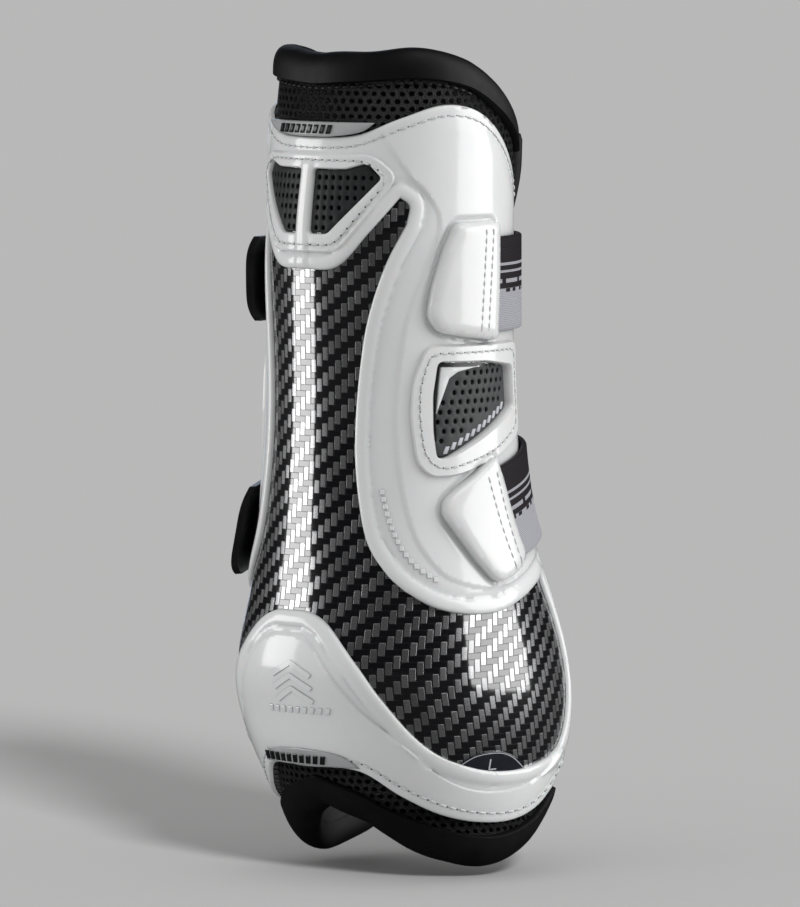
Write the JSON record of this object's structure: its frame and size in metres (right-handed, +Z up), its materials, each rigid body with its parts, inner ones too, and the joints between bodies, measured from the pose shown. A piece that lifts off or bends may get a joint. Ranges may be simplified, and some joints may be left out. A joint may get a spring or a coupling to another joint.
{
  "type": "tendon boot",
  "caption": "Left-leg open-front horse tendon boot: white moulded frame over a carbon-look shell, padded liner, and elastic straps with stud-fastened pull tabs.",
  "frame": {"origin": "centre of the lower opening, on the leg's axis", "axes": "+Z up the leg, -Y back (tendon side), +Y open front, +X inner (medial) side of the left leg"},
  "size_m": [0.0922, 0.0991, 0.2501],
  "materials": {
    "carbon_weave": "glossy clear-coated carbon-look weave",
    "white_tpu": "glossy moulded",
    "vent_dark": "satin, perforated",
    "grey_tpu": "satin",
    "black_label": "satin",
    "air_mesh": "open spacer mesh",
    "foam": "open cell",
    "neoprene": "smooth skin",
    "elastic": "woven elastic",
    "black_tpu": "satin moulded"
  },
  "bodies": {
    "boot": {"carbon_shell": "carbon_weave", "outer_frame": "white_tpu", "upper_strap_cover": "white_tpu", "lower_strap_cover": "white_tpu", "side_vent_wedge_medial": "white_tpu", "side_vent_wedge_lateral": "white_tpu", "back_vent_grille_medial": "vent_dark", "back_vent_grille_lateral": "vent_dark", "side_vent_grille_medial": "grey_tpu", "side_vent_grille_lateral": "grey_tpu", "top_tag": "grey_tpu", "bottom_tag": "grey_tpu", "side_marker_label": "black_label", "air_mesh_liner": "air_mesh", "padding_foam": "foam", "neoprene_lining": "neoprene", "top_collar": "neoprene", "bottom_collar": "neoprene", "front_binding_medial": "neoprene", "front_binding_lateral": "neoprene", "upper_strap_root": "elastic", "upper_stud_plate": "black_tpu", "upper_studs": "black_tpu", "lower_strap_root": "elastic", "lower_stud_plate": "black_tpu", "lower_studs": "black_tpu"},
    "upper_strap_inner_body": {"upper_strap_inner": "elastic"},
    "upper_strap_middle_body": {"upper_strap_middle": "elastic"},
    "upper_strap_outer_body": {"upper_strap_outer": "elastic"},
    "upper_pull_tab_body": {"upper_pull_tab": "black_tpu"},
    "lower_strap_inner_body": {"lower_strap_inner": "elastic"},
    "lower_strap_middle_body": {"lower_strap_middle": "elastic"},
    "lower_strap_outer_body": {"lower_strap_outer": "elastic"},
    "lower_pull_tab_body": {"lower_pull_tab": "black_tpu"}
  },
  "joints": [
    {"name": "upper_strap_swing", "type": "hinge", "parent": "boot", "child": "upper_strap_inner_body", "pos_m": [0.03404, 0.02296, 0.175], "axis": [-0.0064, -0.0043, -1], "range_deg": [0, 95]},
    {"name": "upper_strap_unroll_1", "type": "hinge", "parent": "upper_strap_inner_body", "child": "upper_strap_middle_body", "pos_m": [0.01479, 0.04065, 0.175], "axis": [0.0053, 0.0147, -0.9999], "range_deg": [0, 38]},
    {"name": "upper_strap_unroll_2", "type": "hinge", "parent": "upper_strap_middle_body", "child": "upper_strap_outer_body", "pos_m": [-0.01197, 0.04176, 0.175], "axis": [-0.0049, 0.0171, -0.9998], "range_deg": [0, 38]},
    {"name": "upper_tab_peel", "type": "hinge", "parent": "upper_strap_outer_body", "child": "upper_pull_tab_body", "pos_m": [-0.03253, 0.02542, 0.175], "axis": [0.0044, -0.0034, -1], "range_deg": [0, 80]},
    {"name": "lower_strap_swing", "type": "hinge", "parent": "boot", "child": "lower_strap_inner_body", "pos_m": [0.03612, 0.02436, 0.10768], "axis": [0.1179, 0.0795, -0.9898], "range_deg": [0, 95]},
    {"name": "lower_strap_unroll_1", "type": "hinge", "parent": "lower_strap_inner_body", "child": "lower_strap_middle_body", "pos_m": [0.01626, 0.04468, 0.112], "axis": [0.0643, 0.1766, -0.9822], "range_deg": [0, 38]},
    {"name": "lower_strap_unroll_2", "type": "hinge", "parent": "lower_strap_middle_body", "child": "lower_strap_outer_body", "pos_m": [-0.01321, 0.04606, 0.11229], "axis": [-0.0531, 0.1851, -0.9813], "range_deg": [0, 38]},
    {"name": "lower_tab_peel", "type": "hinge", "parent": "lower_strap_outer_body", "child": "lower_pull_tab_body", "pos_m": [-0.03462, 0.02704, 0.10825], "axis": [-0.1149, 0.0898, -0.9893], "range_deg": [0, 80]}
  ],
  "couplings": [
    {"joint": "upper_strap_unroll_1", "follows": "upper_strap_swing", "ratio": 0.4},
    {"joint": "upper_strap_unroll_2", "follows": "upper_strap_swing", "ratio": 0.4},
    {"joint": "lower_strap_unroll_1", "follows": "lower_strap_swing", "ratio": 0.4},
    {"joint": "lower_strap_unroll_2", "follows": "lower_strap_swing", "ratio": 0.4}
  ]
}
